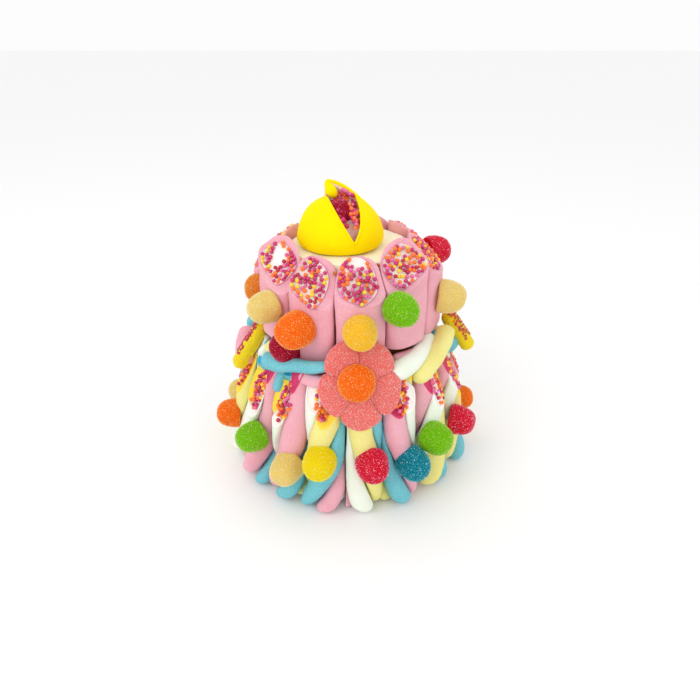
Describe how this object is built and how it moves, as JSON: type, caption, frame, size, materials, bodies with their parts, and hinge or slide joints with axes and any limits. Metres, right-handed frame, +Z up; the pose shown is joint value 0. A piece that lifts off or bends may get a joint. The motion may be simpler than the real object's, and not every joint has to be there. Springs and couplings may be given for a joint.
{
  "type": "two-tier candy cake",
  "caption": "Two-tier candy cake: slant-cut marshmallow sticks and twisted ropes stand round a core, with stuck-on gum drops, a jelly flower and a split marshmallow ball on top.",
  "frame": {"origin": "centre of the round core, on its flat underside, which stands on the table", "axes": "+Z up; -Y is the front, where the jelly flower is; +X is to the right seen from the front"},
  "size_m": [0.1998, 0.2018, 0.2068],
  "materials": {
    "ball_yellow": "matt, smooth",
    "foam_cream": "matt",
    "gum_amber": "rough with sugar crystals, a little translucent",
    "gum_cream": "rough with sugar crystals, a little translucent",
    "gum_dark_red": "rough with sugar crystals, a little translucent",
    "gum_gold": "rough with sugar crystals, a little translucent",
    "gum_green": "rough with sugar crystals, a little translucent",
    "gum_orange": "rough with sugar crystals, a little translucent",
    "gum_red": "rough with sugar crystals, a little translucent",
    "gum_teal": "rough with sugar crystals, a little translucent",
    "gum_yellow": "rough with sugar crystals, a little translucent",
    "jelly_coral": "rough with sugar crystals, a little translucent",
    "marshmallow_blue": "matt, slightly powdery",
    "marshmallow_pink": "matt, slightly powdery",
    "marshmallow_white": "matt, slightly powdery",
    "marshmallow_yellow": "matt, slightly powdery",
    "sour_yellow": "matt, dusted with sugar",
    "sponge_brown": "matt, crumbly"
  },
  "bodies": {
    "root": {"drop_upper_gold": "gum_gold", "drop_upper_orange": "gum_orange", "drop_upper_cream_left": "gum_cream", "drop_upper_amber_left": "gum_amber", "drop_upper_green": "gum_green", "drop_upper_cream_right": "gum_cream", "drop_upper_red_back": "gum_red", "drop_upper_gold_back": "gum_gold", "drop_upper_green_back": "gum_green", "drop_upper_orange_back": "gum_orange", "drop_lower_red": "gum_red", "drop_lower_yellow": "gum_yellow", "drop_lower_cream": "gum_cream", "drop_lower_blue": "gum_teal", "drop_lower_green_left": "gum_green", "drop_lower_green_right": "gum_green", "drop_lower_orange_left": "gum_orange", "drop_lower_red_right": "gum_red", "drop_lower_cream_far_left": "gum_cream", "drop_lower_orange_far_right": "gum_orange", "drop_lower_yellow_back": "gum_yellow", "drop_lower_teal_back": "gum_teal", "drop_lower_red_far_back": "gum_red", "drop_shoulder_red": "gum_dark_red", "flower_drop": "gum_orange", "flower": "jelly_coral", "stick_01": "marshmallow_pink", "stick_02": "marshmallow_pink", "stick_03": "marshmallow_pink", "stick_04": "marshmallow_pink", "stick_05": "marshmallow_pink", "stick_06": "marshmallow_pink", "stick_07": "marshmallow_pink", "stick_09": "marshmallow_pink", "stick_11": "marshmallow_pink", "stick_12": "marshmallow_pink", "rope_01": "marshmallow_pink", "rope_02": "marshmallow_white", "rope_03": "marshmallow_yellow", "rope_04": "marshmallow_blue", "rope_05": "marshmallow_pink", "rope_06": "marshmallow_white", "rope_07": "marshmallow_yellow", "rope_08": "marshmallow_blue", "rope_10": "marshmallow_white", "rope_12": "marshmallow_blue", "rope_14": "marshmallow_white", "rope_16": "marshmallow_blue", "rope_17": "marshmallow_pink", "sour_stick_right": "sour_yellow", "sour_stick_left": "sour_yellow", "shoulder_rope_blue": "marshmallow_blue", "shoulder_rope_white": "marshmallow_white", "shoulder_rope_yellow": "marshmallow_yellow", "shoulder_rope_pink": "marshmallow_pink", "ball": "ball_yellow", "ball_heart": "gum_dark_red", "disc": "foam_cream", "core": "sponge_brown"}
  },
  "joints": []
}
